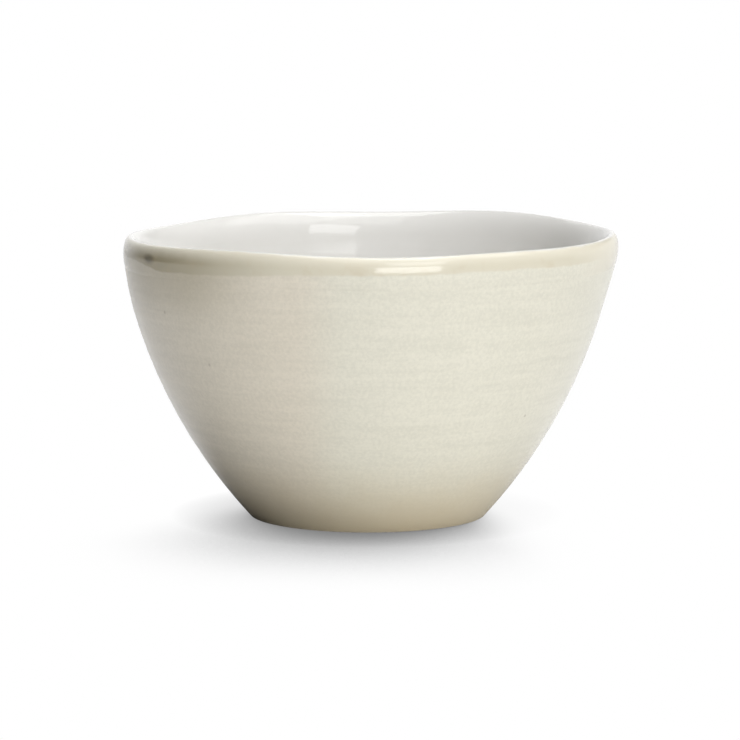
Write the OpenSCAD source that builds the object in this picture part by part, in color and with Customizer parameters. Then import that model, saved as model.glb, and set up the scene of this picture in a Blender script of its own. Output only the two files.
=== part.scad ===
// Prep bowl: one fired clay body under four coats of glaze.
// Millimetres, +Z up, origin on the table at the centre of the foot, front of the bowl towards -Y.

/* [Bowl] */
// Diameter across the lip, at the level where it starts to round off
rim_d = 118.6; // [96:0.1:150]
// Height from the table to the middle of the lip's wave
bowl_h = 68.7; // [55:0.1:85]
// Diameter at which the wall meets the table
foot_d = 57; // [46:1:70]
// Radius of the wall's outward bow
wall_arc_r = 126; // [105:1:260]
// Thickness of the glazed wall
wall_t = 4.4; // [3.4:0.1:6]
// Height of the glazed floor inside, above the table
floor_h = 7; // [5.5:0.1:11]
// Radius of the curve from the floor to the wall inside
well_r = 24; // [12:1:30]
// Height over which the wall rounds off to the lip's crest
lip_h = 6.4; // [4:0.1:8]

/* [Foot] */
// Width of the bare ring that the bowl stands on
foot_ring_w = 7; // [4:0.5:11]
// Radius of the foot's outer edge
toe_r = 0.8; // [0.4:0.1:2]
// Depth of the recess inside the foot ring
recess_depth = 1.6; // [1:0.1:2.6]
// Width of the recess's sloping flank
recess_flank = 1.5; // [0.8:0.1:3]

/* [Glaze] */
// Thickness of the glaze
glaze_t = 0.4; // [0.2:0.05:0.7]
// Width of bare clay left above the foot's edges
bare_w = 0.2; // [0.1:0.05:1]
// How far the lip's glaze roll reaches down the wall, below the rounding
roll_drop = 0.8; // [0.2:0.1:4]
// How far the roll swells out beyond the glaze
roll_swell = 0.12; // [0.04:0.01:0.4]

/* [Rim wave] */
// Height of the lip's two-lobed wave
two_lobe_h = 0.3; // [0:0.01:0.8]
// Direction of a crest of the two-lobed wave
two_lobe_at = 32; // [-90:1:90]
// Height of the lip's three-lobed wave
three_lobe_h = 0.23; // [0:0.01:0.8]
// Direction of a crest of the three-lobed wave
three_lobe_at = -48; // [-60:1:60]
// Height of the lip's five-lobed wave
five_lobe_h = 0.19; // [0:0.01:0.6]
// Direction of a crest of the five-lobed wave
five_lobe_at = -30; // [-36:1:36]
// Height of the lip's six-lobed wave
six_lobe_h = 0.27; // [0:0.01:0.6]
// Direction of a crest of the six-lobed wave
six_lobe_at = -2; // [-30:1:30]
// Depth of the one dip in the lip
dip_h = 1.5; // [0:0.1:3]
// Direction of the lip's dip
dip_at = 182; // [0:1:360]
// How far the mouth lies off the foot's centre, towards +X
mouth_shift = 0.85; // [0:0.05:2]
// Depth below the lip at which the wave has died away
wave_depth = 20; // [12:1:40]

/* [Hidden] */

// Facets round the bowl and along each stretch of its profile
turns = 72;
toe_steps = 3;
wall_steps = 12;
roll_steps = 2;
lip_steps = 12;
inside_steps = 8;
well_steps = 6;
// Power of the raised cosine that shapes the dip: the higher, the narrower
dip_power = 18;
// How far a cut runs past the face that it opens
cut_over = 1;
$fn = 96;

// Profile points are [radius, height]. The lip is a half ellipse about a centre in the middle of the wall,
// and it leans outwards with the wall.
lip_r = wall_t / 2;
lip_c = [rim_d / 2 - lip_r - roll_swell, bowl_h - lip_h - roll_swell / 2];

// Both faces of the wall are arcs about one centre. The outer arc starts at the foot's corner,
// and the middle of the wall ends at the lip's centre.
foot_corner = [foot_d / 2, 0];
chord = lip_c - foot_corner;
chord_u = chord / norm(chord);
chord_to_c = (pow(wall_arc_r, 2) - pow(wall_arc_r - lip_r, 2) + pow(norm(chord), 2)) / (2 * norm(chord));
chord_off_c = sqrt(pow(wall_arc_r, 2) - pow(chord_to_c, 2));
wall_c = foot_corner + chord_to_c * chord_u + chord_off_c * [-chord_u[1], chord_u[0]];

outer_r = wall_arc_r;
outer_clay_r = wall_arc_r - glaze_t;
inner_r = wall_arc_r - wall_t;
inner_clay_r = inner_r + glaze_t;

// The toe and the well are rounds that touch the wall's arc and a level floor.
toe_c = round_centre(outer_clay_r, 0, toe_r);
toe_at = direction(toe_c - wall_c);
well_c = round_centre(inner_r, floor_h, well_r);
well_at = direction(well_c - wall_c);

// Directions, seen from the wall's centre, at which the coats start and stop
glaze_at = toe_at + turn_of(bare_w, outer_r);
lip_at = direction(lip_c - wall_c);
roll_at = lip_at - turn_of(roll_drop, outer_r);
lip_out = [cos(lip_at), sin(lip_at)];
lip_up = [-sin(lip_at), cos(lip_at)];

// Length of the roll, up the wall and then over the lip
roll_run = roll_drop + PI * sqrt((pow(lip_r, 2) + pow(lip_h, 2)) / 2);

recess_r = foot_d / 2 - foot_ring_w;
recess_top_r = recess_r - recess_flank;
recess_line_r = recess_r - recess_flank * bare_w / recess_depth;

// Stretches of the clay's surface, each under one coat, going up the outside and down the inside
clay_toe = arc(toe_c, toe_r, -90, toe_at, toe_steps);
clay_outside = arc(wall_c, outer_clay_r, glaze_at, roll_at, wall_steps);
clay_lip = concat(
    arc(wall_c, outer_clay_r, roll_at, lip_at, roll_steps),
    [for (i = [1:lip_steps]) on_lip(-glaze_t, i / lip_steps)]
);
clay_inside = concat(
    arc(wall_c, inner_clay_r, lip_at, well_at, inside_steps),
    tail(arc(well_c, well_r + glaze_t, well_at, -90, well_steps)),
    [[0, floor_h - glaze_t]]
);

// The glazed surfaces over those stretches
face_outside = arc(wall_c, outer_r, glaze_at, roll_at, wall_steps);
face_lip = concat(
    [for (i = [0:roll_steps])
        let (s = i / roll_steps)
        on_arc(wall_c, outer_r + swell(roll_drop * s), roll_at + (lip_at - roll_at) * s)],
    [for (i = [1:lip_steps])
        let (s = i / lip_steps)
        on_lip(swell(roll_drop + (roll_run - roll_drop) * s), s)]
);
face_inside = concat(
    arc(wall_c, inner_r, lip_at, well_at, inside_steps),
    tail(arc(well_c, well_r, well_at, -90, well_steps)),
    [[0, floor_h]]
);

function direction(v) = atan2(v[1], v[0]);
function turn_of(length, r) = length / r * 180 / PI;
function tail(list) = [for (i = [1:len(list) - 1]) list[i]];
function reversed(list) = [for (i = [len(list) - 1:-1:0]) list[i]];
function on_arc(c, r, at) = c + r * [cos(at), sin(at)];
function arc(c, r, from, to, steps) = [for (i = [0:steps]) on_arc(c, r, from + (to - from) * i / steps)];

// Centre of a round of radius r that touches the level z and, from inside, the wall's arc of radius arc_r
function round_centre(arc_r, z, r) =
    [wall_c[0] + sqrt(pow(arc_r - r, 2) - pow(z + r - wall_c[1], 2)), z + r];

// Point at the share s of the way over the lip, from outside to inside, that far off the lip's half ellipse
function on_lip(off, s) =
    lip_c + (lip_r + off) * cos(180 * s) * lip_out + (lip_h + off) * sin(180 * s) * lip_up;

// Swell of the roll at a length along it: it starts steeply at the roll's edge and dies away inside the lip
function swell(run) = roll_swell * sin(180 * sqrt(min(1, run / roll_run)));

// The lip's wave and dip: they lift and lower the rim, and the mouth moves, by a share that fades down the wall
function wave(at) =
    two_lobe_h * cos(2 * (at - two_lobe_at))
    + three_lobe_h * cos(3 * (at - three_lobe_at))
    + five_lobe_h * cos(5 * (at - five_lobe_at))
    + six_lobe_h * cos(6 * (at - six_lobe_at))
    - dip_h * pow((1 + cos(at - dip_at)) / 2, dip_power);
function wave_share(z) =
    let (s = min(1, max(0, (z - bowl_h + wave_depth) / wave_depth)))
    s * s * (3 - 2 * s);
function place(p, at) =
    [p[0] * cos(at) + mouth_shift * wave_share(p[1]), p[0] * sin(at), p[1] + wave(at) * wave_share(p[1])];

// Skin between two neighbouring profile points of a turned solid, as triangles. Each four-sided patch is
// cut along the diagonal that climbs with the turn, so that two solids that share a face cut it alike.
function climbs(p, q) = p[1] < q[1] || (p[1] == q[1] && p[0] < q[0]);
function band_faces(a, b, up) = [
    for (j = [0:turns - 1])
        let (k = (j + 1) % turns)
        each up
            ? [[a + j, b + j, b + k], [a + j, b + k, a + k]]
            : [[a + j, b + j, a + k], [b + j, b + k, a + k]]
];
function rings(path) = [for (p = path) for (j = [0:turns - 1]) place(p, 360 * j / turns)];

// Solid turned from a closed outline that stays clear of the axis
module turned_ring(path) {
    count = len(path);
    faces = [
        for (i = [0:count - 1])
            let (n = (i + 1) % count)
            each band_faces(i * turns, n * turns, climbs(path[i], path[n]))
    ];
    polyhedron(rings(path), faces);
}

// Solid turned from an outline that starts and ends on the axis
module turned(path) {
    inner = [for (i = [1:len(path) - 2]) path[i]];
    count = len(inner);
    low = count * turns;
    high = low + 1;
    last = (count - 1) * turns;
    faces = concat(
        [for (j = [0:turns - 1]) [low, j, (j + 1) % turns]],
        [for (i = [0:count - 2]) each band_faces(i * turns, (i + 1) * turns, climbs(inner[i], inner[i + 1]))],
        [for (j = [0:turns - 1]) [last + j, high, last + (j + 1) % turns]]
    );
    polyhedron(concat(rings(inner), [place(path[0], 0), place(path[len(path) - 1], 0)]), faces);
}

module clay_body() {
    color("burlywood")
    difference() {
        turned(concat([[0, 0]], clay_toe, clay_outside, tail(clay_lip), tail(clay_inside)));
        rotate_extrude() polygon([
            [0, -cut_over],
            [recess_r, -cut_over],
            [recess_r, 0],
            [recess_top_r, recess_depth],
            [0, recess_depth]
        ]);
    }
}

module inside_glaze() {
    color("whitesmoke")
    turned(concat(reversed(clay_inside), face_inside));
}

module outside_glaze() {
    color("tan")
    turned_ring(concat(face_outside, reversed(clay_outside)));
}

module rim_glaze() {
    color("wheat")
    turned_ring(concat(face_lip, reversed(clay_lip)));
}

module underside_glaze() {
    color("tan")
    rotate_extrude() polygon([
        [0, recess_depth - glaze_t],
        [recess_top_r - glaze_t, recess_depth - glaze_t],
        [recess_line_r - glaze_t, bare_w],
        [recess_line_r, bare_w],
        [recess_top_r, recess_depth],
        [0, recess_depth]
    ]);
}

clay_body();
inside_glaze();
outside_glaze();
rim_glaze();
underside_glaze();
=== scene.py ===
"""Prep bowl: the clay and the glazes of a small flared bowl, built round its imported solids.

Lengths are in metres. +Z is up, the bowl stands on z = 0 and its front faces -Y.
"""

import math

import bpy
import numpy as np
from bpy.props import FloatProperty, FloatVectorProperty, PointerProperty
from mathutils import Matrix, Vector


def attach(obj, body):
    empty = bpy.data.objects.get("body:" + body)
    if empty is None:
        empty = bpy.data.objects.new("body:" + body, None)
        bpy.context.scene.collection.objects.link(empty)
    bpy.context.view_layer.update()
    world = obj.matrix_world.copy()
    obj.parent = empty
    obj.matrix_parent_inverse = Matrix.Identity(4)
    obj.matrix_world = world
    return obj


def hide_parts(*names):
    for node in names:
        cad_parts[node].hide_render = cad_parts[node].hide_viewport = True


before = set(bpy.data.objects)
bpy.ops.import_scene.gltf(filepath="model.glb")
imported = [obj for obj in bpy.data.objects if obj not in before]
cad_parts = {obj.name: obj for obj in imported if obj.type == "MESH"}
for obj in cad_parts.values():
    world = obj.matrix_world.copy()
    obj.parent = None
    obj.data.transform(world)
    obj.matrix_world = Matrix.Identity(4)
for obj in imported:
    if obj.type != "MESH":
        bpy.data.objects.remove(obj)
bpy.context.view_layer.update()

bl_info = {
    "name": "Prep Bowl",
    "version": (1, 0, 0),
    "blender": (4, 5, 0),
    "location": "View3D > Sidebar > Prep Bowl",
    "description": "Builds a glazed prep bowl, piece by piece, and a plain studio round it",
    "category": "Object",
}

# Fineness of the meshes: points round the bowl, and along the stretches of a glaze's face and of the clay behind it
TURNS = 288
FACE_WALL, FACE_RISE, FACE_LIP, FACE_DOWN, FACE_WELL = 140, 16, 64, 96, 40
CLAY_WALL, CLAY_RISE, CLAY_LIP, CLAY_DOWN, CLAY_WELL = 60, 6, 24, 48, 24
TOE_STEPS, FLOOR_STEPS = 8, 12
SHARP_EDGE = math.radians(50.0)

# Lip: how narrow its dip is, and the lobes, share and phase of each wave in the roll's lower edge
DIP_POWER = 18
DRIFT_WAVES = ((2.0, 0.5, 0.6), (5.0, 0.3, 2.0), (9.0, 0.2, 4.0))

# Throwing rings: heights over which they come in above the foot, and depths over which they go below the lip
RINGS_ABOVE_FOOT = (0.010, 0.020)
RINGS_BELOW_LIP = (0.012, 0.008)
CLEAR_OF_AXIS = 0.01

# Finger spiral: its pitch, the radii and heights over which it goes, its eye, and how it comes in at the floor
SPIRAL_PITCH = 0.0048
SPIRAL_REACH = (0.014, 0.024)
SPIRAL_TOP = (0.014, 0.018)
SPIRAL_EYE = 0.003
SPIRAL_UNDER_FLOOR = (0.001, 0.0005)

# Where the glazes change, in metres to the right of the axis or up from the table, or as a share over the lip
TINT_SIDE = (-0.018, -0.004)
# Heights and sides where the upper left wall darkens towards the deep honey colour, which carries painted shade
DEEP_LEFT_HEIGHT, DEEP_LEFT_SIDE = (0.048, 0.063), (-0.044, -0.022)
# Heights over which the sand glaze turns darker and tan towards the foot, and how far that line drifts
FOOT_TAN_HEIGHT, FOOT_TAN_DRIFT = (0.001, 0.0245), 0.006
# Sides over which the lip's honey deepens towards the left, deeper glaze with painted shade
HONEY_SHADE_SIDE = (-0.056, -0.016)
BAND_SIDE, BAND_EDGE = (-0.050, 0.0), (0.14, 0.29)
BAND_END_SIDE, BAND_END_LIFT = (-0.0555, -0.0475), 0.14
BAND_SOFTNESS = (-0.02, 0.02)
# Cream where the glaze thins over the crest, and painted light in cream at the lip's right end
CREAM_OVER, LIT_END_SIDE = (0.32, 0.54), (0.048, 0.058)
WHITE_OVER = (0.52, 0.60)
MIRROR_OVER, MIRROR_END_OVER = (0.5, 0.62), (0.93, 1.03)
# Painted dark reflection low on the front left of the lip: its centre, size and turn
PAINTED_REFLECTION_AT, PAINTED_REFLECTION_SIZE = (-0.0511, -0.0292, 0.0650), (0.0040, 0.0040, 0.0016)
PAINTED_REFLECTION_TURN = math.radians(209.4)

# Span of a noise pattern's values, and cells per metre of the grains and the specks
NOISE_SPAN = (0.2, 0.8)
SAND_GRAIN, WHITE_GRAIN, HONEY_GRAIN, CLAY_GRAIN = 1250.0, 900.0, 2400.0, 2200.0
SAND_SPECKS, WHITE_SPECKS, CLAY_SPECKS = 190.0, 75.0, 420.0

# Stage: the bowl's middle, and the floor and the backdrop round it
MIDDLE = (0.0, 0.0, 0.035)
STAGE_RADIUS = 1.1
FLOOR_TURNS, FLOOR_RINGS = 96, 23
BACKDROP_ENDS, BACKDROP_POSTS, BACKDROP_HEIGHT = (15.0, 165.0), 61, 0.9
PLAIN_WHITE = (1.0, 1.0, 1.0, 1.0)

# Softboxes: name, bearing and rise in degrees, distance, width, height, and whether a gloss mirrors it
SOFTBOXES = (
    ("window", 16.5, 6.1, 1.4, 0.72, 0.39, True),
    ("rear", 135.0, 14.0, 1.4, 0.80, 0.60, False),
    ("over", 62.0, 58.0, 1.6, 1.3, 1.3, True),
    ("fore", 5.0, 55.0, 1.6, 1.0, 1.0, True),
    ("pane", 21.0, 27.3, 1.5, 0.65, 0.455, True),
    ("crown", 0.0, 89.0, 1.6, 1.2, 1.2, True),
)


def length(name, description, default):
    """A property that holds a length in metres."""
    return FloatProperty(name=name, description=description, default=default, min=0.0, precision=5,
                         subtype="DISTANCE", unit="LENGTH")


def turn(name, description, degrees):
    """A property that holds an angle, given in degrees."""
    return FloatProperty(name=name, description=description, default=math.radians(degrees),
                         subtype="ANGLE", unit="ROTATION")


def colour(name, description, default):
    """A property that holds a colour."""
    return FloatVectorProperty(name=name, description=description, default=default, size=3, min=0.0, max=1.0,
                               subtype="COLOR")


def amount(name, description, default):
    """A property that holds a plain number."""
    return FloatProperty(name=name, description=description, default=default, min=0.0)


class PrepBowlSizes(bpy.types.PropertyGroup):
    """Sizes of the bowl's clay and glazes"""

    rim_d: length("Rim diameter", "Diameter across the lip, where it starts to round off", 0.1186)
    bowl_h: length("Height", "Height from the table to the middle of the lip's wave", 0.0687)
    foot_d: length("Foot diameter", "Diameter at which the wall meets the table", 0.057)
    wall_arc_r: length("Wall bow", "Radius of the wall's outward bow", 0.126)
    wall_t: length("Wall", "Thickness of the glazed wall", 0.0044)
    floor_h: length("Floor", "Height of the glazed floor inside, above the table", 0.007)
    well_r: length("Well", "Radius of the curve from the floor to the wall inside", 0.024)
    lip_h: length("Lip", "Height over which the wall rounds off to the lip's crest", 0.0064)
    foot_ring_w: length("Foot ring", "Width of the bare ring that the bowl stands on", 0.007)
    toe_r: length("Toe", "Radius of the foot's outer edge", 0.0008)
    recess_depth: length("Recess", "Depth of the recess inside the foot ring", 0.0016)
    recess_flank: length("Recess flank", "Width of the recess's sloping flank", 0.0015)
    glaze_t: length("Glaze", "Thickness of the glaze", 0.0004)
    bare_w: length("Bare edge", "Width of bare clay left above the foot's edges", 0.0002)
    roll_drop: length("Roll drop", "How far the lip's glaze roll reaches down the wall, below the rounding", 0.0008)
    roll_swell: length("Roll swell", "How far the roll swells out beyond the glaze", 0.00012)
    roll_drift: length("Roll drift", "How far the roll's lower edge drifts up and down", 0.00035)
    mouth_shift: length("Mouth shift", "How far the mouth lies off the foot's centre, towards +X", 0.00085)
    wave_depth: length("Wave depth", "Depth below the lip at which the wave has died away", 0.020)
    two_lobe_h: length("Two-lobed wave", "Height of the lip's two-lobed wave", 0.0003)
    two_lobe_at: turn("Two-lobed crest", "Direction of a crest of the two-lobed wave", 32)
    three_lobe_h: length("Three-lobed wave", "Height of the lip's three-lobed wave", 0.00023)
    three_lobe_at: turn("Three-lobed crest", "Direction of a crest of the three-lobed wave", -48)
    five_lobe_h: length("Five-lobed wave", "Height of the lip's five-lobed wave", 0.00019)
    five_lobe_at: turn("Five-lobed crest", "Direction of a crest of the five-lobed wave", -30)
    six_lobe_h: length("Six-lobed wave", "Height of the lip's six-lobed wave", 0.00027)
    six_lobe_at: turn("Six-lobed crest", "Direction of a crest of the six-lobed wave", -2)
    dip_h: length("Dip", "Depth of the one dip in the lip", 0.0015)
    dip_at: turn("Dip direction", "Direction of the lip's dip", 182)
    ring_relief: length("Throwing rings", "Height of the faint rings that throwing leaves on the wall", 0.00004)
    ring_pitch: length("Ring pitch", "Distance from one throwing ring to the next", 0.0052)
    well_relief: length("Well spiral", "Height of the finger spiral in the well", 0.00012)


class PrepBowlColours(bpy.types.PropertyGroup):
    """Colours of the bowl's clay and glazes"""

    clay: colour("Clay", "Bare fired clay", (0.62, 0.48, 0.35))
    clay_dark: colour("Dark clay", "Darker grain of the bare clay", (0.45, 0.33, 0.23))
    white: colour("White glaze", "Glaze over the inside", (0.82, 0.81, 0.782))
    white_thin: colour("Thin white glaze", "White glaze where it lies thin", (0.75, 0.737, 0.70))
    sand: colour("Sand glaze", "Glaze over the outside", (0.81, 0.785, 0.67))
    sand_deep: colour("Deep sand glaze", "Sand glaze where it lies thick", (0.72, 0.70, 0.595))
    # Foot tan: the sand glaze turns darker and tan towards the foot.
    foot_tan: colour("Foot tan", "Sand glaze where it has run down to the foot", (0.655, 0.574, 0.416))
    # Sand tint: the sand glaze is warmer and a little darker on the left.
    sand_tint: colour("Sand tint", "Warm tint of the sand glaze on the side where it lies thick", (1.0, 0.955, 0.94))
    honey: colour("Honey glaze", "Glaze of the lip's roll", (0.715, 0.672, 0.54))
    # Deep honey: deeper glaze and painted shade on the lip's left, the side away from the lamps; also mixed into the
    # upper left wall.
    honey_deep_and_shade: colour("Deep honey", "Honey glaze on the side where it lies thick", (0.405, 0.355, 0.238))
    honey_rust: colour("Rust", "Iron-rich patches in the honey glaze", (0.56, 0.44, 0.27))
    # Cream: thinner glaze over the crest, and painted light at the lip's right end.
    cream: colour("Cream", "Honey glaze where it thins over the crest", (0.785, 0.742, 0.617))
    speck: colour("Specks", "Iron specks in the glaze", (0.30, 0.24, 0.17))
    # Painted dark reflection, low on the front left of the lip.
    painted_reflection: colour("Blotch", "The one iron blotch in the honey glaze", (0.19, 0.17, 0.125))


class PrepBowlStage(bpy.types.PropertyGroup):
    """Camera and lights of the plain studio"""

    view_distance: length("View distance", "Distance from the camera to the point that it looks at", 0.9)
    view_drop: turn("View drop", "Angle at which the camera looks down", 7.53)
    view_aim_x: length("Aim sideways", "How far right of the bowl's axis the camera looks", 0.00058)
    view_aim_z: length("Aim height", "Height that the camera looks at", 0.035)
    view_lens: FloatProperty(name="Lens", description="Focal length of the camera", default=180.8,
                             subtype="DISTANCE_CAMERA")
    room_light: amount("Room light", "Even light from all round", 0.011)
    window_light: amount("Window light", "Brightness of the low softbox beside the camera", 6.2)
    rear_light: amount("Rear light", "Brightness of the softbox behind on the right", 3.9)
    over_light: amount("Overhead light", "Brightness of the large softbox above on the right", 1.75)
    fore_light: amount("Front light", "Brightness of the softbox above the camera", 1.15)
    pane_light: amount("Pane light", "Brightness of the softbox between the window and the front light", 3.4)
    crown_light: amount("Crown light", "Brightness of the softbox straight overhead", 3.2)


# Side view of the bowl


def direction(vector):
    """Angle of a plane vector, from the first axis towards the second."""
    return math.atan2(vector[1], vector[0])


def fade(low, high, values):
    """Smooth step: 0 up to low, 1 from high on, and 3 s squared less 2 s cubed between them."""
    s = np.clip((values - low) / (high - low), 0.0, 1.0)
    return s * s * (3.0 - 2.0 * s)


def on_arc(centre, radius, angle):
    """Points [radius, height] on a circle: centre plus radius times the cosine and sine of the angle."""
    return np.stack(np.broadcast_arrays(centre[0] + radius * np.cos(angle), centre[1] + radius * np.sin(angle)), -1)


def steps(count):
    """Column of even shares from 0 to 1, to run along a profile."""
    return np.linspace(0.0, 1.0, count)[:, None]


class SideView:
    """Where the bowl's arcs lie, as [radius, height].

    Both faces of the wall are arcs about one centre. The outer one starts at the foot's corner, and the middle of
    the wall ends at the centre of the lip, which is a half ellipse that leans outwards with the wall. The toe and
    the well are rounds that touch the wall's arc and a level floor.
    """

    def __init__(self, sizes):
        self.sizes = sizes
        self.at = np.linspace(0.0, 2.0 * math.pi, TURNS, endpoint=False)
        self.lip_r = sizes.wall_t / 2.0
        self.lip_c = np.array((sizes.rim_d / 2.0 - self.lip_r - sizes.roll_swell,
                               sizes.bowl_h - sizes.lip_h - sizes.roll_swell / 2.0))
        foot_corner = np.array((sizes.foot_d / 2.0, 0.0))
        chord = self.lip_c - foot_corner
        span = float(np.hypot(*chord))
        along = chord / span
        bow = sizes.wall_arc_r
        reach = (bow ** 2 - (bow - self.lip_r) ** 2 + span ** 2) / (2.0 * span)
        self.centre = foot_corner + reach * along + math.sqrt(bow ** 2 - reach ** 2) * np.array((-along[1], along[0]))
        self.outer_r = bow
        self.outer_clay_r = bow - sizes.glaze_t
        self.inner_r = bow - sizes.wall_t
        self.inner_clay_r = self.inner_r + sizes.glaze_t
        self.toe_c = self.round_centre(self.outer_clay_r, 0.0, sizes.toe_r)
        self.toe_at = direction(self.toe_c - self.centre)
        self.well_c = self.round_centre(self.inner_r, sizes.floor_h, sizes.well_r)
        self.well_at = direction(self.well_c - self.centre)
        self.glaze_at = self.toe_at + sizes.bare_w / self.outer_r
        self.lip_at = direction(self.lip_c - self.centre)
        self.lip_out = np.array((math.cos(self.lip_at), math.sin(self.lip_at)))
        self.lip_up = np.array((-math.sin(self.lip_at), math.cos(self.lip_at)))
        drift = sum(share * np.sin(lobes * self.at + phase) for lobes, share, phase in DRIFT_WAVES)
        self.roll_rise = sizes.roll_drop - sizes.roll_drift * drift
        self.roll_at = self.lip_at - self.roll_rise / self.outer_r
        self.lip_run = math.pi * math.sqrt((self.lip_r ** 2 + sizes.lip_h ** 2) / 2.0)

    def round_centre(self, arc_r, level, radius):
        """Centre of a round that touches a level and, from inside, the wall's arc of radius arc_r."""
        rise = level + radius - self.centre[1]
        return np.array((self.centre[0] + math.sqrt((arc_r - radius) ** 2 - rise ** 2), level + radius))

    def on_lip(self, off, share):
        """Lip: half ellipse from outside to inside, at a share of the way over, and off it by that much."""
        out = (self.lip_r + off) * np.cos(math.pi * share)
        up = (self.sizes.lip_h + off) * np.sin(math.pi * share)
        return self.lip_c + out[..., None] * self.lip_out + up[..., None] * self.lip_up

    def swell(self, run):
        """Roll of the lip's glaze: half a sine wave over the square root of the share of its run."""
        share = np.clip(run / (self.roll_rise + self.lip_run), 0.0, 1.0)
        return self.sizes.roll_swell * np.sin(math.pi * np.sqrt(share))

    def level(self, points):
        """The same profile points all the way round."""
        points = np.asarray(points, float).reshape(-1, 1, 2)
        return np.broadcast_to(points, (len(points), TURNS, 2))

    def wall(self, radius, start, end, count):
        """Stretch of the wall: an arc about the wall's centre whose ends may differ round the bowl."""
        return self.ring(on_arc(self.centre, radius, start + (end - start) * steps(count)))

    def ring(self, points):
        """Profile points carried all the way round, where they are given once."""
        return np.broadcast_to(points, (points.shape[0], TURNS, 2))

    def clay_toe(self):
        """Toe of the foot: a round from level up to the wall's slope."""
        s = self.sizes
        level = -math.pi / 2
        return self.ring(on_arc(self.toe_c, s.toe_r, level + (self.toe_at - level) * steps(TOE_STEPS)))

    def clay_outside(self):
        """Clay under the sand glaze."""
        return self.wall(self.outer_clay_r, self.glaze_at, self.roll_at, CLAY_WALL)

    def face_outside(self):
        """Face of the sand glaze."""
        return self.wall(self.outer_r, self.glaze_at, self.roll_at, FACE_WALL)

    def clay_lip(self):
        """Clay under the roll: the wall's arc, and then the lip drawn in by the glaze."""
        wall = self.wall(self.outer_clay_r, self.roll_at, self.lip_at, CLAY_RISE)
        lip = self.ring(self.on_lip(-self.sizes.glaze_t, steps(CLAY_LIP)))
        return np.concatenate((wall, lip[1:]))

    def face_lip(self):
        """Face of the roll: the wall's arc, in steps that grow, and then the lip, both swollen along the roll."""
        share = steps(FACE_RISE) ** 2
        wall = on_arc(self.centre, self.outer_r + self.swell(self.roll_rise * share),
                      self.roll_at + (self.lip_at - self.roll_at) * share)
        share = np.broadcast_to(steps(FACE_LIP), (FACE_LIP, TURNS))
        lip = self.on_lip(self.swell(self.roll_rise + self.lip_run * share), share)
        return np.concatenate((wall, lip[1:]))

    def inside(self, wall_r, well_r, level, down, well):
        """Inside of the bowl: down the wall's inner arc, round the well, and in over a level floor."""
        wall = self.wall(wall_r, self.lip_at, self.well_at, down)
        curve = self.ring(on_arc(self.well_c, well_r, self.well_at - (self.well_at + math.pi / 2) * steps(well)))
        floor = np.stack((self.well_c[0] * (1.0 - steps(FLOOR_STEPS)), np.full((FLOOR_STEPS, 1), level)), -1)
        return np.concatenate((wall, curve[1:], self.ring(floor)[1:]))

    def clay_inside(self):
        """Clay under the white glaze."""
        s = self.sizes
        return self.inside(self.inner_clay_r, s.well_r + s.glaze_t, s.floor_h - s.glaze_t, CLAY_DOWN, CLAY_WELL)

    def face_inside(self):
        """Face of the white glaze."""
        s = self.sizes
        return self.inside(self.inner_r, s.well_r, s.floor_h, FACE_DOWN, FACE_WELL)

    def wave(self):
        """Wave of the lip: cosines of two, three, five and six lobes, each about its own crest, less one dip,
        which is a high power of a raised cosine."""
        s = self.sizes
        waves = ((2.0, s.two_lobe_h, s.two_lobe_at), (3.0, s.three_lobe_h, s.three_lobe_at),
                 (5.0, s.five_lobe_h, s.five_lobe_at), (6.0, s.six_lobe_h, s.six_lobe_at))
        dip = s.dip_h * ((1.0 + np.cos(self.at - s.dip_at)) / 2.0) ** DIP_POWER
        return sum(height * np.cos(lobes * (self.at - crest)) for lobes, height, crest in waves) - dip

    def relief(self, height):
        """Throwing rings on the wall: two sines of the height that wind round the bowl, gone at foot and lip."""
        s = self.sizes
        wind = 2.0 * math.pi * height / s.ring_pitch
        rings = 0.6 * np.sin(wind + self.at) + 0.4 * np.sin(2.7 * wind - 2.0 * self.at + 1.0)
        start, end = RINGS_BELOW_LIP
        shown = fade(*RINGS_ABOVE_FOOT, height) * (1.0 - fade(s.bowl_h - start, s.bowl_h - end, height))
        return s.ring_relief * rings * shown

    def spiral(self, points):
        """Finger spiral in the well: a cosine of the radius that winds once round. It is there only near the floor's
        height, and is gone at the axis and up the well."""
        s = self.sizes
        radius, height = points[..., 0], points[..., 1]
        start, end = SPIRAL_UNDER_FLOOR
        on_floor = (1.0 - fade(*SPIRAL_REACH, radius)) * fade(s.floor_h - start, s.floor_h - end, height)
        on_floor = on_floor * fade(0.0, SPIRAL_EYE, radius) * (1.0 - fade(*SPIRAL_TOP, height))
        return s.well_relief * np.cos(2.0 * math.pi * radius / SPIRAL_PITCH - self.at) * on_floor

    def place(self, points):
        """Profile points carried round the bowl: x and y from the radius, and then the lip's wave lifts the rim
        and shifts the mouth by a share that fades down the wall."""
        s = self.sizes
        share = fade(s.bowl_h - s.wave_depth, s.bowl_h, points[..., 1])
        radius = points[..., 0] + self.relief(points[..., 1]) * fade(0.0, CLEAR_OF_AXIS, points[..., 0])
        return np.stack((radius * np.cos(self.at) + s.mouth_shift * share, radius * np.sin(self.at),
                         points[..., 1] + self.wave() * share + self.spiral(points)), -1)


# Meshes


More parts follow.
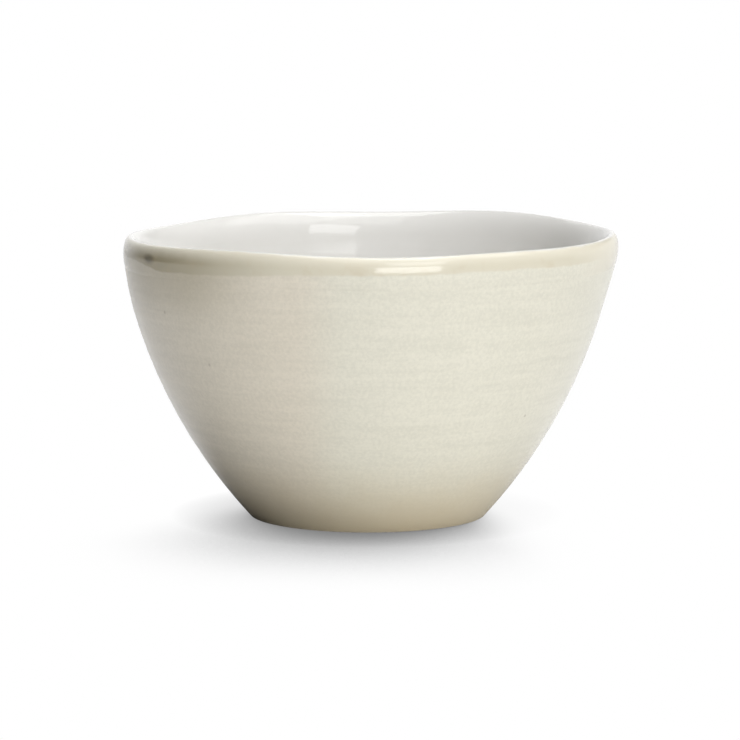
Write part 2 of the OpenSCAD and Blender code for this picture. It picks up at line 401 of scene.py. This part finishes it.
def turned_piece(name, points, poles, body, node, attributes=()):
    """Closed skin over a grid of points, ring after ring and turn by turn.

    Each four-sided face joins two neighbouring rings. The last ring joins the first, or, with poles, the first and
    the last ring are each one point on the axis and are joined by three-sided faces.
    """
    rings = len(points)
    turn_now = np.arange(TURNS)
    turn_next = (turn_now + 1) % TURNS
    if poles:
        skin = points[1:-1]
        verts = np.concatenate((skin.reshape(-1, 3), points[0].mean(0)[None], points[-1].mean(0)[None]))
        low, high = len(verts) - 2, len(verts) - 1
        first = np.arange(rings - 3)[:, None] * TURNS
        second = first + TURNS
        last = (rings - 3) * TURNS
        caps = [np.stack((np.full(TURNS, low), turn_next, turn_now), -1),
                np.stack((last + turn_now, last + turn_next, np.full(TURNS, high)), -1)]
    else:
        verts = points.reshape(-1, 3)
        first = np.arange(rings)[:, None] * TURNS
        second = (first + TURNS) % len(verts)
        caps = []
    quads = np.stack((first + turn_now, first + turn_next, second + turn_next, second + turn_now), -1).reshape(-1, 4)
    corners = np.concatenate([quads.ravel()] + [cap.ravel() for cap in caps])
    counts = np.concatenate([np.full(len(quads), 4)] + [np.full(len(cap), 3) for cap in caps])
    mesh = bpy.data.meshes.new(name)
    mesh.vertices.add(len(verts))
    mesh.vertices.foreach_set("co", verts.astype(np.float32).ravel())
    mesh.loops.add(len(corners))
    mesh.loops.foreach_set("vertex_index", corners.astype(np.int32))
    mesh.polygons.add(len(counts))
    mesh.polygons.foreach_set("loop_start", (np.cumsum(counts) - counts).astype(np.int32))
    mesh.update(calc_edges=True)
    mesh.polygons.foreach_set("use_smooth", np.ones(len(counts), bool))
    mesh.set_sharp_from_angle(angle=SHARP_EDGE)
    for attribute, values in dict(attributes).items():
        shares = values[1:-1].ravel() if poles else values.ravel()
        if poles:
            shares = np.concatenate((shares, values[0, :1], values[-1, :1]))
        layer = mesh.attributes.new(attribute, "FLOAT", "POINT")
        layer.data.foreach_set("value", shares.astype(np.float32))
    if mesh.validate():
        raise RuntimeError(f"{name}: the mesh had faces that can't stand")
    piece = bpy.data.objects.new(name, mesh)
    bpy.context.scene.collection.objects.link(piece)
    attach(piece, body)
    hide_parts(node)
    return piece


# Shader nodes


class Wiring:
    """Adds nodes to one tree and joins them. An input is a plain value or another node's output."""

    def __init__(self, tree):
        self.tree = tree
        tree.nodes.clear()

    def add(self, kind, inputs=None, **settings):
        """New node with these settings and inputs."""
        node = self.tree.nodes.new(kind)
        for key, value in settings.items():
            setattr(node, key, value)
        for key, value in (inputs or {}).items():
            if isinstance(value, bpy.types.NodeSocket):
                self.tree.links.new(value, node.inputs[key])
            else:
                node.inputs[key].default_value = value
        return node

    def maths(self, operation, first, second):
        """Result of an operation on two values."""
        return self.add("ShaderNodeMath", {0: first, 1: second}, operation=operation).outputs[0]

    def total(self, *terms):
        """Sum of values, each times its weight."""
        parts = [self.maths("MULTIPLY", value, weight) for value, weight in terms]
        result = parts[0]
        for part in parts[1:]:
            result = self.maths("ADD", result, part)
        return result

    def remap(self, value, low, high, start=0.0, end=1.0):
        """Smooth step of a value from low to high, put out as start to end."""
        return self.add("ShaderNodeMapRange", {"Value": value, "From Min": low, "From Max": high, "To Min": start,
                                               "To Max": end}, interpolation_type="SMOOTHSTEP").outputs[0]

    def blend(self, factor, first, second, kind="MIX"):
        """Mix of two colours."""
        node = self.add("ShaderNodeMix", {0: factor, 6: first, 7: second}, data_type="RGBA", blend_type=kind)
        return node.outputs[2]

    def noise(self, vector, scale, detail=2.0, roughness=0.5):
        """Value of a noise pattern."""
        return self.add("ShaderNodeTexNoise", {"Vector": vector, "Scale": scale, "Detail": detail,
                                               "Roughness": roughness}).outputs[0]


def shared_group(name, inputs, outputs, fill):
    """Node group with these named sockets, filled once and then shared."""
    group = bpy.data.node_groups.get(name)
    if group:
        return group
    group = bpy.data.node_groups.new(name, "ShaderNodeTree")
    wires = Wiring(group)
    for socket, kind in inputs:
        group.interface.new_socket(name=socket, in_out="INPUT", socket_type=kind)
    for socket in outputs:
        group.interface.new_socket(name=socket, in_out="OUTPUT", socket_type="NodeSocketFloat")
    source = wires.add("NodeGroupInput")
    sink = wires.add("NodeGroupOutput")
    for socket, value in fill(wires, source.outputs).items():
        group.links.new(value, sink.inputs[socket])
    return group


def glaze_mottle():
    """Cloudy grain of a fired glaze, fine and coarse, each about a half."""

    def fill(wires, given):
        fine = wires.noise(given["Vector"], given["Grain"], 2.0, 0.6)
        cloud = wires.noise(given["Vector"], wires.maths("MULTIPLY", given["Grain"], 0.11), 3.0, 0.5)
        return {"Grain": fine, "Cloud": cloud}

    return shared_group("glaze_mottle", [("Vector", "NodeSocketVector"), ("Grain", "NodeSocketFloat")],
                        ["Grain", "Cloud"], fill)


def throwing_streaks():
    """Level streaks that a turning bowl draws in its glaze: noise pressed flat along the height."""

    def fill(wires, given):
        wide = wires.add("ShaderNodeMapping", {"Vector": given["Vector"], "Scale": (38.0, 38.0, 520.0)}).outputs[0]
        thin = wires.add("ShaderNodeMapping", {"Vector": given["Vector"], "Scale": (90.0, 90.0, 1500.0)}).outputs[0]
        return {"Streaks": wires.noise(wide, 1.0, 2.0, 0.6), "Hairlines": wires.noise(thin, 1.0, 1.0, 0.5)}

    return shared_group("throwing_streaks", [("Vector", "NodeSocketVector")], ["Streaks", "Hairlines"], fill)


def sand_depth():
    """How deep the sand glaze lies: its grain and clouds, and the level streaks that throwing left in it."""

    def fill(wires, given):
        mottle = wires.add("ShaderNodeGroup", {"Vector": given["Vector"], "Grain": SAND_GRAIN},
                           node_tree=glaze_mottle()).outputs
        streaks = wires.add("ShaderNodeGroup", {"Vector": given["Vector"]}, node_tree=throwing_streaks()).outputs
        depth = wires.total((mottle["Grain"], 0.85), (streaks["Streaks"], 0.45), (mottle["Cloud"], 0.2),
                            (streaks["Hairlines"], 0.2))
        return {"Depth": wires.remap(depth, 0.55, 1.15), "Grain": mottle["Grain"], "Cloud": mottle["Cloud"]}

    return shared_group("sand_depth", [("Vector", "NodeSocketVector")], ["Depth", "Grain", "Cloud"], fill)


def iron_specks():
    """Small iron specks: round spots in some cells of a cell pattern."""

    def fill(wires, given):
        cells = wires.add("ShaderNodeTexVoronoi", {"Vector": given["Vector"], "Scale": given["Per metre"]})
        pick = wires.add("ShaderNodeSeparateColor", {0: cells.outputs["Color"]})
        reach = wires.remap(pick.outputs[0], 0.88, 1.0, 0.0, 0.13)
        spot = wires.maths("SUBTRACT", reach, cells.outputs["Distance"])
        return {"Specks": wires.remap(spot, 0.0, 0.06)}

    return shared_group("iron_specks", [("Vector", "NodeSocketVector"), ("Per metre", "NodeSocketFloat")],
                        ["Specks"], fill)


class Finish:
    """Material in the making: its tree, its coordinates and the shared effects."""

    def __init__(self, name):
        self.material = bpy.data.materials.new(name)
        self.material.use_nodes = True
        self.wires = Wiring(self.material.node_tree)
        self.coords = self.wires.add("ShaderNodeTexCoord").outputs["Object"]

    def effect(self, group, inputs=None):
        """Outputs of a shared effect, read at the object's own coordinates."""
        node = self.wires.add("ShaderNodeGroup", node_tree=group)
        self.wires.tree.links.new(self.coords, node.inputs["Vector"])
        for key, value in (inputs or {}).items():
            node.inputs[key].default_value = value
        return node.outputs

    def places(self):
        """The object's own coordinates: to the right, to the back and up."""
        return self.wires.add("ShaderNodeSeparateXYZ", {0: self.coords}).outputs

    def share(self, attribute):
        """Value that the piece's mesh holds at each point."""
        return self.wires.add("ShaderNodeAttribute", attribute_name=attribute).outputs["Fac"]

    def close(self, base, roughness, height, bump, depth):
        """Joins the surface: a shader with that colour, roughness and bump."""
        wires = self.wires
        normal = wires.add("ShaderNodeBump", {"Strength": bump, "Distance": depth, "Height": height}).outputs[0]
        shader = wires.add("ShaderNodeBsdfPrincipled", {"Base Color": base, "Roughness": roughness,
                                                        "Normal": normal, "IOR": 1.5})
        wires.add("ShaderNodeOutputMaterial", {"Surface": shader.outputs[0]})
        return self.material


def opaque(rgb):
    """Colour with full cover, as node sockets want it."""
    return (*rgb, 1.0)


def sand_colour(finish, colours):
    """Colour of the sand glaze, with the effect that it comes from: sand to deep sand by its depth, warmer on the
    left, darker near the lip there with half of the deep honey colour, which carries painted shade, and tan towards
    the foot."""
    wires = finish.wires
    depth = finish.effect(sand_depth())
    side, _, height = finish.places()
    base = wires.blend(depth["Depth"], opaque(colours.sand), opaque(colours.sand_deep))
    base = wires.blend(wires.remap(side, *TINT_SIDE, 1.0, 0.0), base, opaque(colours.sand_tint), "MULTIPLY")
    # Darker near the lip on the upper left wall: half way to the deep honey colour, which carries the left's painted
    # shade
    run = wires.maths("MULTIPLY", wires.remap(height, *DEEP_LEFT_HEIGHT), wires.remap(side, *DEEP_LEFT_SIDE, 0.5, 0.0))
    base = wires.blend(run, base, opaque(colours.honey_deep_and_shade))
    # Darker and tan towards the foot, up to a wavy height
    level = wires.total((height, 1.0), (depth["Cloud"], FOOT_TAN_DRIFT))
    return wires.blend(wires.remap(level, *FOOT_TAN_HEIGHT, 1.0, 0.0), base, opaque(colours.foot_tan)), depth


def sand_glaze(colours):
    """Sand glaze: finely mottled, with level streaks and a few specks."""
    finish = Finish("mottled_sand")
    wires = finish.wires
    base, depth = sand_colour(finish, colours)
    specks = finish.effect(iron_specks(), {"Per metre": SAND_SPECKS})
    base = wires.blend(wires.maths("MULTIPLY", specks["Specks"], 0.35), base, opaque(colours.speck))
    roughness = wires.remap(depth["Grain"], *NOISE_SPAN, 0.17, 0.25)
    return finish.close(base, roughness, depth["Cloud"], 0.05, 0.001)


def white_glaze(colours):
    """White glaze: clean and glossy, a little thinner in clouds, with a rare speck."""
    finish = Finish("clean_white")
    wires = finish.wires
    mottle = finish.effect(glaze_mottle(), {"Grain": WHITE_GRAIN})
    streaks = finish.effect(throwing_streaks())
    specks = finish.effect(iron_specks(), {"Per metre": WHITE_SPECKS})
    thin = wires.total((mottle["Cloud"], 0.6), (streaks["Streaks"], 0.4))
    base = wires.blend(wires.remap(thin, 0.4, 0.75, 0.0, 0.35), opaque(colours.white), opaque(colours.white_thin))
    base = wires.blend(wires.maths("MULTIPLY", specks["Specks"], 0.5), base, opaque(colours.speck))
    roughness = wires.remap(mottle["Grain"], *NOISE_SPAN, 0.08, 0.13)
    return finish.close(base, roughness, mottle["Cloud"], 0.03, 0.001)


def honey_glaze(colours):
    """Honey glaze: runs from the wall's sand through honey to cream over the crest and white inside. It lies lower on
    the left, where it is deeper and carries painted shade, higher at the left end, and has painted light in cream at
    the right end, with a little rust in it and a painted dark reflection low on the front left. Just inside the crest
    it is a sharper mirror than outside or further down."""
    finish = Finish("rolled_honey")
    wires = finish.wires
    sand, depth = sand_colour(finish, colours)
    mottle = finish.effect(glaze_mottle(), {"Grain": HONEY_GRAIN})
    side = finish.places()[0]
    over = wires.total((finish.share("over_lip"), 1.0), (mottle["Cloud"], 0.04), (depth["Cloud"], 0.06))
    # Deeper glaze and painted shade: the honey darkens to the deep honey towards the left, the side away from the
    # lamps
    honey = wires.blend(wires.remap(side, *HONEY_SHADE_SIDE), opaque(colours.honey_deep_and_shade), opaque(colours.honey))
    honey = wires.blend(wires.remap(mottle["Cloud"], 0.5, 0.75, 0.0, 0.2), honey, opaque(colours.honey_rust))
    edge = wires.maths("SUBTRACT", over, wires.remap(side, *BAND_SIDE, *BAND_EDGE))
    edge = wires.maths("SUBTRACT", edge, wires.remap(side, *BAND_END_SIDE, BAND_END_LIFT, 0.0))
    base = wires.blend(wires.remap(edge, *BAND_SOFTNESS), sand, honey)
    # Cream where the glaze thins over the crest, and painted light in cream at the lip's right end, the lit side
    thin = wires.maths("MAXIMUM", wires.remap(over, *CREAM_OVER), wires.remap(side, *LIT_END_SIDE))
    base = wires.blend(thin, base, opaque(colours.cream))
    base = wires.blend(wires.remap(over, *WHITE_OVER), base, opaque(colours.white))
    # Painted reflection: a dark spot low on the front left of the lip
    spot = wires.add("ShaderNodeMapping", {"Vector": finish.coords, "Location": PAINTED_REFLECTION_AT,
                                           "Rotation": (0.0, 0.0, PAINTED_REFLECTION_TURN), "Scale": PAINTED_REFLECTION_SIZE},
                     vector_type="TEXTURE").outputs[0]
    reach = wires.add("ShaderNodeVectorMath", {0: spot}, operation="LENGTH").outputs["Value"]
    base = wires.blend(wires.remap(reach, 0.2, 1.0, 0.8, 0.0), base, opaque(colours.painted_reflection))
    dull = wires.maths("ADD", wires.remap(over, *MIRROR_OVER, 1.0, 0.25),
                       wires.remap(over, *MIRROR_END_OVER, 0.0, 0.75))
    roughness = wires.maths("MULTIPLY", wires.remap(depth["Grain"], *NOISE_SPAN, 0.08, 0.12), dull)
    return finish.close(base, roughness, depth["Cloud"], 0.06, 0.001)


def bare_clay(colours):
    """Bare fired clay: matt and grainy, with darker grains and specks."""
    finish = Finish("grainy_clay")
    wires = finish.wires
    mottle = finish.effect(glaze_mottle(), {"Grain": CLAY_GRAIN})
    specks = finish.effect(iron_specks(), {"Per metre": CLAY_SPECKS})
    grain = wires.total((mottle["Grain"], 0.6), (mottle["Cloud"], 0.4))
    base = wires.blend(wires.remap(grain, 0.35, 0.7), opaque(colours.clay), opaque(colours.clay_dark))
    base = wires.blend(wires.maths("MULTIPLY", specks["Specks"], 0.6), base, opaque(colours.speck))
    roughness = wires.remap(mottle["Grain"], *NOISE_SPAN, 0.75, 0.95)
    return finish.close(base, roughness, mottle["Grain"], 0.35, 0.0004)


def finish_named(name, make, colours):
    """The finish of that name, made the first time that it is asked for."""
    return bpy.data.materials.get(name) or make(colours)


# Operators


class PieceOperator:
    """What every piece's operator shares: the sizes, the colours and the side view."""

    bl_options = {"REGISTER", "UNDO"}

    def execute(self, context):
        scene = context.scene
        self.make(SideView(scene.prep_bowl_sizes), scene.prep_bowl_colours)
        return {"FINISHED"}


class PREPBOWL_OT_clay_body(PieceOperator, bpy.types.Operator):
    """Make the fired clay body, with its foot ring and the recess inside it"""

    bl_idname = "prep_bowl.clay_body"
    bl_label = "Clay Body"

    def make(self, view, colours):
        s = view.sizes
        recess_r = s.foot_d / 2.0 - s.foot_ring_w
        top_r = recess_r - s.recess_flank
        roof = [(top_r * share, s.recess_depth) for share in (0.0, 0.25, 0.5, 0.75, 0.98)]
        flank = [(top_r + s.recess_flank * share, s.recess_depth * (1.0 - share))
                 for share in (0.0, 0.25, 0.5, 0.75, 0.93)]
        ring = [(recess_r + step, 0.0) for step in (0.00025, 0.0025, 0.0050)]
        path = np.concatenate((view.level(roof + flank + ring), view.clay_toe(), view.clay_outside(),
                               view.clay_lip()[1:], view.clay_inside()[1:]))
        piece = turned_piece("thrown_clay", view.place(path), True, "root", "clay_body")
        piece.data.materials.append(finish_named("grainy_clay", bare_clay, colours))


class PREPBOWL_OT_inside_glaze(PieceOperator, bpy.types.Operator):
    """Make the white glaze over the floor and the inside wall"""

    bl_idname = "prep_bowl.inside_glaze"
    bl_label = "Inside Glaze"

    def make(self, view, colours):
        path = np.concatenate((view.clay_inside()[::-1], view.face_inside()))
        piece = turned_piece("inside_coat", view.place(path), True, "root", "inside_glaze")
        piece.data.materials.append(finish_named("clean_white", white_glaze, colours))


class PREPBOWL_OT_outside_glaze(PieceOperator, bpy.types.Operator):
    """Make the sand glaze over the outside wall"""

    bl_idname = "prep_bowl.outside_glaze"
    bl_label = "Outside Glaze"

    def make(self, view, colours):
        path = np.concatenate((view.face_outside(), view.clay_outside()[::-1]))
        piece = turned_piece("outside_coat", view.place(path), False, "root", "outside_glaze")
        piece.data.materials.append(finish_named("mottled_sand", sand_glaze, colours))


class PREPBOWL_OT_rim_glaze(PieceOperator, bpy.types.Operator):
    """Make the honey glaze that rolls over the lip"""

    bl_idname = "prep_bowl.rim_glaze"
    bl_label = "Rim Glaze"

    def make(self, view, colours):
        face = view.face_lip()
        back = view.clay_lip()[::-1]
        path = np.concatenate((face, back))
        legs = np.linalg.norm(np.diff(face, axis=0), axis=-1)
        run = np.concatenate((np.zeros((1, TURNS)), np.cumsum(legs, axis=0)))
        over = np.concatenate((run / run[-1], np.broadcast_to(1.0 - steps(len(back)), (len(back), TURNS))))
        piece = turned_piece("rim_roll", view.place(path), False, "root", "rim_glaze",
                             {"over_lip": over})
        piece.data.materials.append(finish_named("rolled_honey", honey_glaze, colours))


class PREPBOWL_OT_underside_glaze(PieceOperator, bpy.types.Operator):
    """Make the sand glaze in the recess under the foot"""

    bl_idname = "prep_bowl.underside_glaze"
    bl_label = "Underside Glaze"

    def make(self, view, colours):
        s = view.sizes
        recess_r = s.foot_d / 2.0 - s.foot_ring_w
        top_r = recess_r - s.recess_flank
        line_r = recess_r - s.recess_flank * s.bare_w / s.recess_depth
        low = s.recess_depth - s.glaze_t
        face = [((top_r - s.glaze_t) * share, low) for share in (0.0, 0.25, 0.5, 0.75, 0.97)]
        flank = [(line_r - s.glaze_t + (top_r - line_r) * share, s.bare_w + (low - s.bare_w) * share)
                 for share in (0.9, 0.5, 0.15)]
        edge = [(line_r - s.glaze_t * 0.6, s.bare_w), (line_r, s.bare_w), (top_r, s.recess_depth)]
        back = [(top_r * share, s.recess_depth) for share in (0.6, 0.0)]
        path = view.level(face + flank + edge + back)
        piece = turned_piece("underside_coat", view.place(path), True, "root", "underside_glaze")
        piece.data.materials.append(finish_named("mottled_sand", sand_glaze, colours))


def softbox(name, place, aim, width, height, brightness, mirrored):
    """Rectangular lamp that faces a point, and that a gloss mirrors or not. Its power is pi times its area times
    its brightness."""
    lamp = bpy.data.lights.new(name, "AREA")
    lamp.shape = "RECTANGLE"
    lamp.size, lamp.size_y = width, height
    lamp.energy = math.pi * width * height * brightness
    holder = bpy.data.objects.new(name, lamp)
    holder.location = place
    holder.rotation_euler = (Vector(aim) - Vector(place)).to_track_quat("-Z", "Y").to_euler()
    holder.visible_glossy = mirrored
    bpy.context.scene.collection.objects.link(holder)


def round_about(bearing, rise, distance):
    """Point at that distance from the bowl, at a bearing to the right of the camera and a rise above the table."""
    side, up = math.radians(bearing), math.radians(rise)
    return (distance * math.cos(up) * math.sin(side), -distance * math.cos(up) * math.cos(side),
            MIDDLE[2] + distance * math.sin(up))


class PREPBOWL_OT_stage(bpy.types.Operator):
    """Make the floor, the backdrop, the lights and the camera"""

    bl_idname = "prep_bowl.stage"
    bl_label = "Stage"
    bl_options = {"REGISTER", "UNDO"}

    def execute(self, context):
        stage = context.scene.prep_bowl_stage
        self.floor()
        self.backdrop()
        self.world(stage)
        for name, bearing, rise, distance, width, height, mirrored in SOFTBOXES:
            softbox(f"{name}_softbox", round_about(bearing, rise, distance), MIDDLE, width, height,
                    getattr(stage, f"{name}_light"), mirrored)
        self.camera(stage)
        context.scene.view_settings.view_transform = "Standard"
        return {"FINISHED"}

    def floor(self):
        """Pale disc: radius times cosine and sine of the turn, with the radius growing from the middle."""
        at = np.linspace(0.0, 2.0 * math.pi, FLOOR_TURNS, endpoint=False)
        radius = STAGE_RADIUS * np.linspace(0.0, 1.0, FLOOR_RINGS + 1)[1:, None]
        flat = np.zeros((FLOOR_RINGS, FLOOR_TURNS))
        disc = np.stack((radius * np.cos(at), radius * np.sin(at), flat), -1).reshape(-1, 3)
        now = np.arange(FLOOR_TURNS)
        then = (now + 1) % FLOOR_TURNS
        first = np.arange(FLOOR_RINGS - 1)[:, None] * FLOOR_TURNS
        second = first + FLOOR_TURNS
        quads = np.stack((first + now, second + now, second + then, first + then), -1).reshape(-1, 4)
        tips = np.stack((np.full(FLOOR_TURNS, len(disc)), now, then), -1)
        mesh = bpy.data.meshes.new("floor")
        mesh.from_pydata(np.vstack((disc, (0.0, 0.0, 0.0))).tolist(), [], quads.tolist() + tips.tolist())
        floor = bpy.data.objects.new("floor", mesh)
        bpy.context.scene.collection.objects.link(floor)
        mesh.materials.append(self.floor_finish())

    def floor_finish(self):
        """Pale floor. It lights the bowl with a colour that is paler on the right and darker by the foot's left:
        painted shade, which dims the light that the floor throws back onto the bowl's lower left.
        The camera sees plain white there, shaded where the bowl stands close or hides the back, less so on the right
        and not at all far out. A gloss mixes that white, unshaded, into the lit colour at the back, more of it with
        the distance and on the left."""
        material = bpy.data.materials.new("pale_floor")
        material.use_nodes = True
        wires = Wiring(material.node_tree)
        seen = wires.add("ShaderNodeLightPath").outputs
        place = wires.add("ShaderNodeTexCoord").outputs["Object"]
        across, back, _ = wires.add("ShaderNodeSeparateXYZ", {0: place}).outputs
        # Painted shade on the floor: darker on the left and in a patch by the foot's left, so that less light bounces
        # onto the bowl's lower left
        off = wires.add("ShaderNodeVectorMath", {0: place, 1: (-0.040, -0.008, 0.0)}, operation="DISTANCE")
        pale_with_shade = wires.maths("MULTIPLY", wires.remap(across, -0.03, 0.03, 0.78, 0.85),
                           wires.remap(off.outputs["Value"], 0.012, 0.060, 0.55, 1.0))
        shaded = wires.add("ShaderNodeBsdfDiffuse", {"Color": pale_with_shade})
        lean = Vector((0.7, 4.0, 1.0)).normalized()
        tilt = wires.add("ShaderNodeCombineXYZ", {0: lean.x, 1: lean.y, 2: lean.z}).outputs[0]
        sky = wires.add("ShaderNodeAmbientOcclusion", {"Distance": 0.2, "Normal": tilt}, samples=32).outputs["AO"]
        gap = wires.add("ShaderNodeAmbientOcclusion", {"Distance": 0.015}, samples=16).outputs["AO"]
        light = wires.maths("MULTIPLY", wires.remap(sky, 0.296, 0.757, 0.272, 1.0),
                            wires.maths("ADD", wires.maths("MULTIPLY", gap, 0.387), 0.613))
        open_side = wires.remap(wires.total((across, 1.0), (back, 0.2)), 0.018, 0.036, 0.0, 0.75)
        light = wires.add("ShaderNodeMix", {0: open_side, 2: light, 3: 1.0}).outputs[0]
        reach = wires.add("ShaderNodeVectorMath", {0: place}, operation="LENGTH").outputs["Value"]
        light = wires.maths("MAXIMUM", light, wires.remap(reach, 0.25, 0.5))
        light = wires.maths("MAXIMUM", light, seen["Is Glossy Ray"])
        shadow = wires.add("ShaderNodeEmission", {"Color": PLAIN_WHITE, "Strength": light})
        far = wires.maths("MULTIPLY", wires.remap(reach, 0.0, 0.10, 0.0, 0.67), wires.remap(back, -0.02, 0.03))
        far = wires.maths("MULTIPLY", far, wires.remap(across, -0.04, 0.06, 1.0, 0.6))
        far = wires.maths("MULTIPLY", seen["Is Glossy Ray"], far)
        shown = wires.maths("MAXIMUM", seen["Is Camera Ray"], far)
        mixed = wires.add("ShaderNodeMixShader", {0: shown, 1: shaded.outputs[0], 2: shadow.outputs[0]})
        wires.add("ShaderNodeOutputMaterial", {"Surface": mixed.outputs[0]})
        return material

    def backdrop(self):
        """White sheet round the back: an upright part of a cylinder."""
        at = np.radians(np.linspace(*BACKDROP_ENDS, BACKDROP_POSTS))
        foot = np.stack((STAGE_RADIUS * np.cos(at), STAGE_RADIUS * np.sin(at), np.zeros(BACKDROP_POSTS)), -1)
        head = foot + (0.0, 0.0, BACKDROP_HEIGHT)
        now = np.arange(BACKDROP_POSTS - 1)
        then = now + 1
        quads = np.stack((now, now + BACKDROP_POSTS, then + BACKDROP_POSTS, then), -1)
        mesh = bpy.data.meshes.new("backdrop")
        mesh.from_pydata(np.vstack((foot, head)).tolist(), [], quads.tolist())
        sheet = bpy.data.objects.new("backdrop", mesh)
        bpy.context.scene.collection.objects.link(sheet)
        mesh.materials.append(self.backdrop_finish())

    def backdrop_finish(self):
        """White backdrop, clear to the lamps' light and from behind. The camera sees it whole. A gloss sees it fade
        to its left end, and sees only its foot on the right."""
        material = bpy.data.materials.new("white_backdrop")
        material.use_nodes = True
        wires = Wiring(material.node_tree)
        seen = wires.add("ShaderNodeLightPath").outputs
        behind = wires.add("ShaderNodeNewGeometry").outputs["Backfacing"]
        place = wires.add("ShaderNodeTexCoord").outputs["Object"]
        across, _, height = wires.add("ShaderNodeSeparateXYZ", {0: place}).outputs
        right = wires.maths("MAXIMUM", wires.remap(across, 0.15, 0.6, 1.0, 0.0),
                            wires.remap(height, 0.2, 0.34, 0.85, 0.0))
        ends = wires.maths("MULTIPLY", wires.remap(across, -1.06, -0.5), right)
        mirrored = wires.maths("MULTIPLY", seen["Is Glossy Ray"], ends)
        shown = wires.maths("MAXIMUM", seen["Is Camera Ray"], mirrored)
        shown = wires.maths("MULTIPLY", shown, wires.maths("SUBTRACT", 1.0, behind))
        clear = wires.add("ShaderNodeBsdfTransparent").outputs[0]
        white = wires.add("ShaderNodeEmission", {"Color": PLAIN_WHITE, "Strength": 1.0}).outputs[0]
        mixed = wires.add("ShaderNodeMixShader", {0: shown, 1: clear, 2: white}).outputs[0]
        wires.add("ShaderNodeOutputMaterial", {"Surface": mixed})
        return material

    def world(self, stage):
        """Even light all round, and plain white where the camera looks past the floor."""
        world = bpy.data.worlds.new("studio")
        world.use_nodes = True
        bpy.context.scene.world = world
        wires = Wiring(world.node_tree)
        seen = wires.add("ShaderNodeLightPath").outputs
        room = wires.add("ShaderNodeBackground", {"Color": PLAIN_WHITE, "Strength": stage.room_light})
        white = wires.add("ShaderNodeBackground", {"Color": PLAIN_WHITE, "Strength": 1.0})
        mixed = wires.add("ShaderNodeMixShader", {0: seen["Is Camera Ray"], 1: room.outputs[0], 2: white.outputs[0]})
        wires.add("ShaderNodeOutputWorld", {"Surface": mixed.outputs[0]})

    def camera(self, stage):
        """Camera that looks down on the bowl's front."""
        lens = bpy.data.cameras.new("camera")
        lens.sensor_fit = "HORIZONTAL"
        lens.sensor_width = 36.0
        lens.lens = stage.view_lens
        lens.clip_start = 0.01
        aim = Vector((stage.view_aim_x, 0.0, stage.view_aim_z))
        out = Vector((0.0, -math.cos(stage.view_drop), math.sin(stage.view_drop)))
        camera = bpy.data.objects.new("camera", lens)
        camera.location = aim + stage.view_distance * out
        camera.rotation_euler = (-out).to_track_quat("-Z", "Y").to_euler()
        bpy.context.scene.collection.objects.link(camera)
        bpy.context.scene.camera = camera


class PREPBOWL_PT_sidebar(bpy.types.Panel):
    """Lists the bowl's pieces, sizes and colours"""

    bl_idname = "PREPBOWL_PT_sidebar"
    bl_label = "Prep Bowl"
    bl_space_type = "VIEW_3D"
    bl_region_type = "UI"
    bl_category = "Prep Bowl"

    def draw(self, context):
        layout = self.layout
        for operator in OPERATORS:
            layout.operator(operator.bl_idname)
        for settings in ("prep_bowl_sizes", "prep_bowl_colours", "prep_bowl_stage"):
            box = layout.box()
            group = getattr(context.scene, settings)
            for key in group.__annotations__:
                box.prop(group, key)


OPERATORS = (PREPBOWL_OT_clay_body, PREPBOWL_OT_inside_glaze, PREPBOWL_OT_outside_glaze, PREPBOWL_OT_rim_glaze,
             PREPBOWL_OT_underside_glaze, PREPBOWL_OT_stage)
CLASSES = (PrepBowlSizes, PrepBowlColours, PrepBowlStage, *OPERATORS, PREPBOWL_PT_sidebar)


def register():
    """Registers the classes and hangs the settings on the scene."""
    for each in CLASSES:
        bpy.utils.register_class(each)
    bpy.types.Scene.prep_bowl_sizes = PointerProperty(type=PrepBowlSizes)
    bpy.types.Scene.prep_bowl_colours = PointerProperty(type=PrepBowlColours)
    bpy.types.Scene.prep_bowl_stage = PointerProperty(type=PrepBowlStage)


def unregister():
    """Takes the settings and the classes away again."""
    del bpy.types.Scene.prep_bowl_stage
    del bpy.types.Scene.prep_bowl_colours
    del bpy.types.Scene.prep_bowl_sizes
    for each in reversed(CLASSES):
        bpy.utils.unregister_class(each)


def main():
    """Builds the bowl and its stage."""
    register()
    bpy.ops.prep_bowl.clay_body()
    bpy.ops.prep_bowl.inside_glaze()
    bpy.ops.prep_bowl.outside_glaze()
    bpy.ops.prep_bowl.rim_glaze()
    bpy.ops.prep_bowl.underside_glaze()
    bpy.ops.prep_bowl.stage()


if __name__ == "__main__":
    main()
